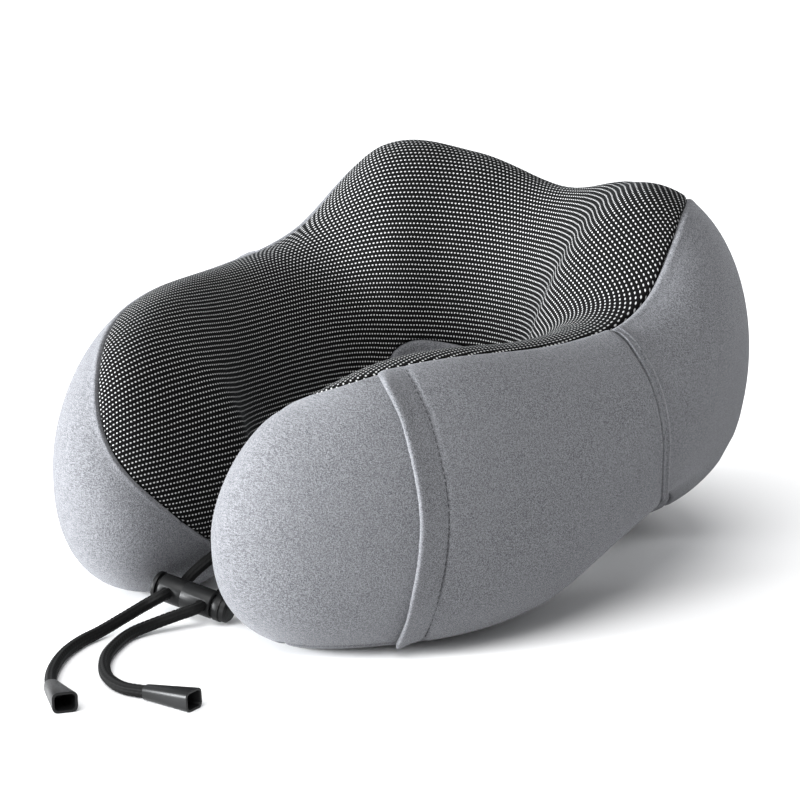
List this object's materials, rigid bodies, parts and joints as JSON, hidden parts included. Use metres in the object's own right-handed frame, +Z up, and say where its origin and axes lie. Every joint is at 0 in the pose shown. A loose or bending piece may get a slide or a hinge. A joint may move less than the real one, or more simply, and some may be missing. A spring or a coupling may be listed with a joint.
{
  "type": "u shaped neck pillow",
  "caption": "U-shaped travel neck pillow: foam core in a zipped knit and velour cover, two high side lobes, arm pocket and a plug-together cord lock with two cords.",
  "frame": {"origin": "on the floor under the middle of the pillow", "axes": "+Z up, +Y towards the back of the wearer's neck, the opening between the arms faces -Y, +X towards the arm with the pocket"},
  "size_m": [0.2754, 0.3754, 0.1683],
  "materials": {
    "foam": "open-cell memory foam, matte",
    "liner": "thin white knit",
    "knit": "black and white dotted knit",
    "velour": "short bluish grey pile",
    "zip_tape": "woven tape",
    "zip_coil": "satin nylon coil",
    "zip_metal": "satin grey",
    "lock_body": "satin charcoal",
    "lock_button": "satin black",
    "spring_wire": "bright",
    "cord": "black braid",
    "cord_end": "satin charcoal"
  },
  "bodies": {
    "pillow": {"foam_core": "foam", "inner_liner": "liner", "knit_top_panel": "knit", "side_panel_left": "velour", "side_panel_right": "velour", "rear_panel": "velour", "base_panel": "velour", "pocket_panel": "velour", "zip_tape_upper": "zip_tape", "zip_tape_lower": "zip_tape", "zip_coil_upper": "zip_coil", "zip_coil_lower": "zip_coil", "zip_stops": "zip_metal", "lock_body_left": "lock_body", "lock_spring_left": "spring_wire", "cord_left": "cord", "cord_end_left": "cord_end", "cord_right_lead": "cord"},
    "zip_slider": {"zip_slider": "zip_metal"},
    "zip_pull": {"zip_pull": "zip_metal"},
    "lock_right": {"lock_body_right": "lock_body", "lock_spring_right": "spring_wire", "cord_right_tail": "cord", "cord_end_right": "cord_end"},
    "button_left": {"lock_button_left": "lock_button"},
    "button_right": {"lock_button_right": "lock_button"}
  },
  "joints": [
    {"name": "zip_slide", "type": "hinge", "parent": "pillow", "child": "zip_slider", "pos_m": [0, 0.026, 0.032], "axis": [0, 0, -1], "range_deg": [0, 51]},
    {"name": "zip_pull_swing", "type": "hinge", "parent": "zip_slider", "child": "zip_pull", "pos_m": [-0.05176, 0.13404, 0.032], "axis": [0, 0, 1], "range_deg": [0, 150]},
    {"name": "lock_pull_apart", "type": "slide", "parent": "pillow", "child": "lock_right", "axis": [0.9366, 0.3043, -0.1736], "range_m": [0, 0.01], "deforming": ["cord_right_lead"]},
    {"name": "left_button_press", "type": "slide", "parent": "pillow", "child": "button_left", "axis": [0.9366, 0.3043, -0.1736], "range_m": [0, 0.001], "stiffness_N_per_m": 800, "springref_m": -0.001, "deforming": ["lock_spring_left"]},
    {"name": "right_button_press", "type": "slide", "parent": "lock_right", "child": "button_right", "axis": [-0.9366, -0.3043, 0.1736], "range_m": [0, 0.0015], "stiffness_N_per_m": 800, "springref_m": -0.001, "deforming": ["lock_spring_right"]}
  ]
}
